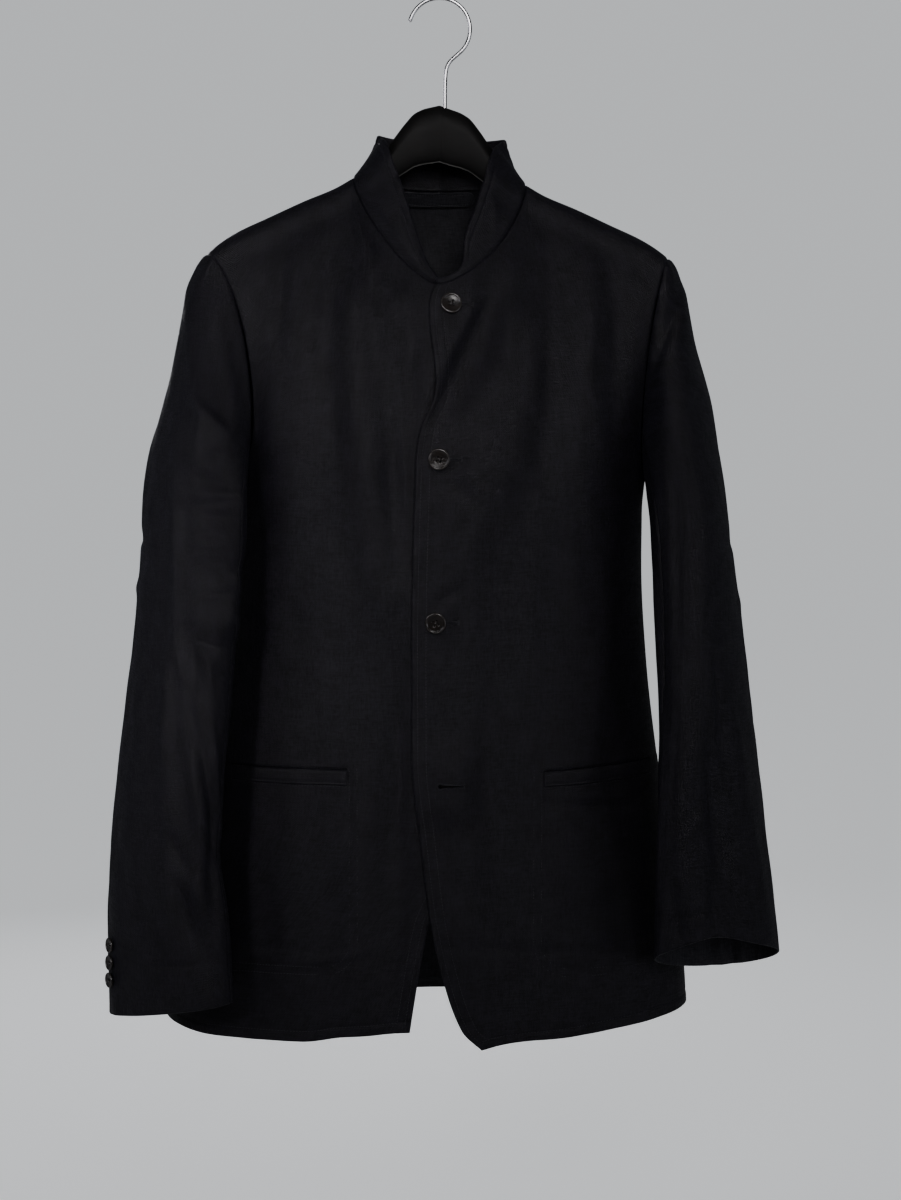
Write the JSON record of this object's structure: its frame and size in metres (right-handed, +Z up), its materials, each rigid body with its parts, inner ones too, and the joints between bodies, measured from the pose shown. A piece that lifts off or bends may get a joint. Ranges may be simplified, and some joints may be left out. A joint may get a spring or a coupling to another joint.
{
  "type": "nehru jacket on a hanger",
  "caption": "Dark linen stand-collar jacket with horn buttons, cutaway front and welt pockets, hanging empty on a broad black hanger.",
  "frame": {"origin": "inside top of the hanger's hook, where a rail carries it", "axes": "+Z up; the front faces -Y; +X is the wearer's left"},
  "size_m": [0.6108, 0.2395, 0.9446],
  "materials": {
    "linen": "matt plain-weave linen, navy black",
    "linen_inside": "matt linen, inner side",
    "horn_button": "polished dark horn",
    "hanger_plastic": "satin black moulding",
    "hook_chrome": "polished wire"
  },
  "bodies": {
    "root": {"front_left": "linen", "front_right": "linen", "back": "linen", "top_sleeve_left": "linen", "top_sleeve_right": "linen", "under_sleeve_left": "linen", "under_sleeve_right": "linen", "collar": "linen", "pocket_welt_left": "linen", "pocket_welt_right": "linen", "pocket_bag_left": "linen_inside", "pocket_bag_right": "linen_inside", "hanger_loop": "linen", "button_front_1": "horn_button", "button_front_2": "horn_button", "button_front_3": "horn_button", "button_front_4": "horn_button", "button_cuff_left_1": "horn_button", "button_cuff_left_2": "horn_button", "button_cuff_left_3": "horn_button", "button_cuff_right_1": "horn_button", "button_cuff_right_2": "horn_button", "button_cuff_right_3": "horn_button", "hanger": "hanger_plastic", "hook": "hook_chrome"}
  },
  "joints": []
}
